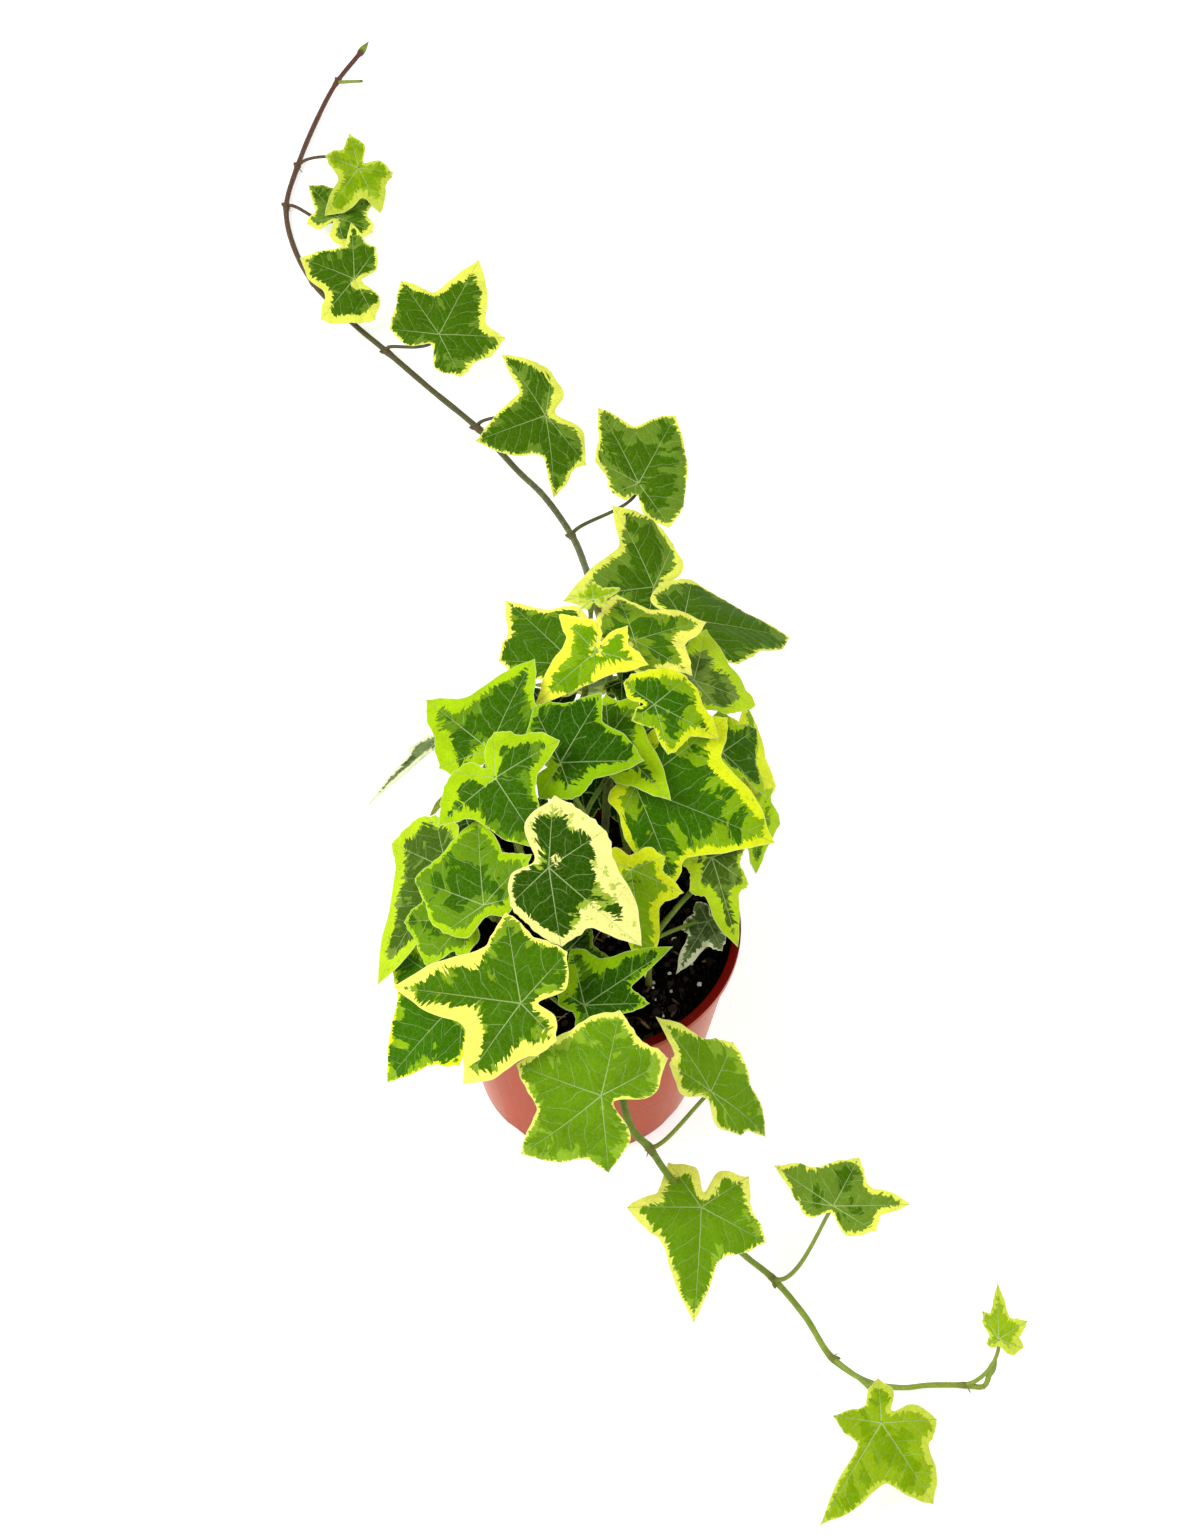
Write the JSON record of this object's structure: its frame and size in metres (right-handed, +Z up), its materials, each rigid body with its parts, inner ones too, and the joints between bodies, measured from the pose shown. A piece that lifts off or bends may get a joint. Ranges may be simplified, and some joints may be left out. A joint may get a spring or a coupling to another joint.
{
  "type": "potted ivy",
  "caption": "Variegated trailing ivy in a round plastic nursery pot, with a leafy mound, one long runner lying out behind and a shorter one over the front rim.",
  "frame": {"origin": "centre of the pot's flat base, on the surface the pot stands on", "axes": "+Z up; +Y horizontal, away from the viewer towards the long back runner; +X to the viewer's right"},
  "size_m": [0.3232, 0.8283, 0.1857],
  "materials": {
    "pot_plastic": "satin",
    "potting_mix": "matte",
    "ivy": "satin"
  },
  "bodies": {
    "root": {"pot": "pot_plastic", "soil": "potting_mix", "trail_back": "ivy", "trail_front": "ivy", "stem_front_left": "ivy", "stem_left": "ivy", "stem_left_top": "ivy", "stem_top": "ivy", "stem_top_right": "ivy", "stem_centre": "ivy", "stem_right": "ivy", "stem_right_front": "ivy", "stem_back_left": "ivy", "stem_back": "ivy", "stem_back_right": "ivy"}
  },
  "joints": []
}
